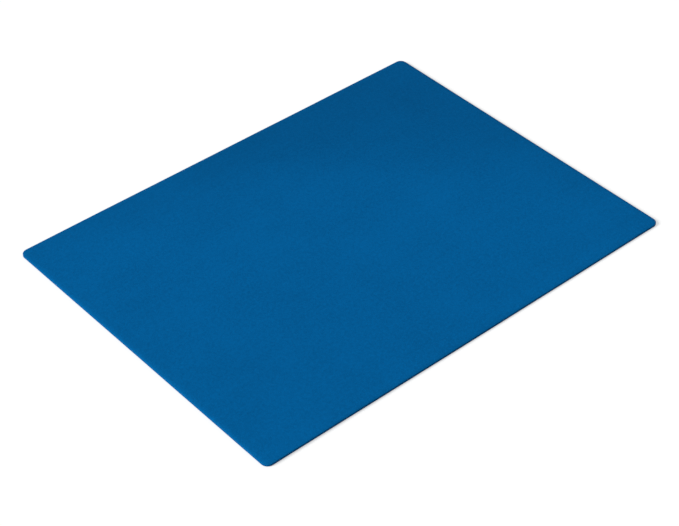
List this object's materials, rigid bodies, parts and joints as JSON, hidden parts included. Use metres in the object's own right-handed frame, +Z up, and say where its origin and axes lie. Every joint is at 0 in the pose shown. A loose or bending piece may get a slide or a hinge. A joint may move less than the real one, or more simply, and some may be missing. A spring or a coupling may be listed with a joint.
{
  "type": "foam sheet",
  "caption": "Flat rectangular sheet of soft closed-cell craft foam with small round corners and softly cut edges, for cutting, lining, padding or gluing.",
  "frame": {"origin": "middle of the underside", "axes": "+X along the length of the sheet, +Y along its width, +Z up through its thickness"},
  "size_m": [0.3048, 0.2286, 0.002],
  "materials": {
    "foam": "matt blue closed-cell foam, smooth faces with very fine cells, slightly rougher cut sides"
  },
  "bodies": {
    "root": {"foam_sheet": "foam"}
  },
  "joints": []
}
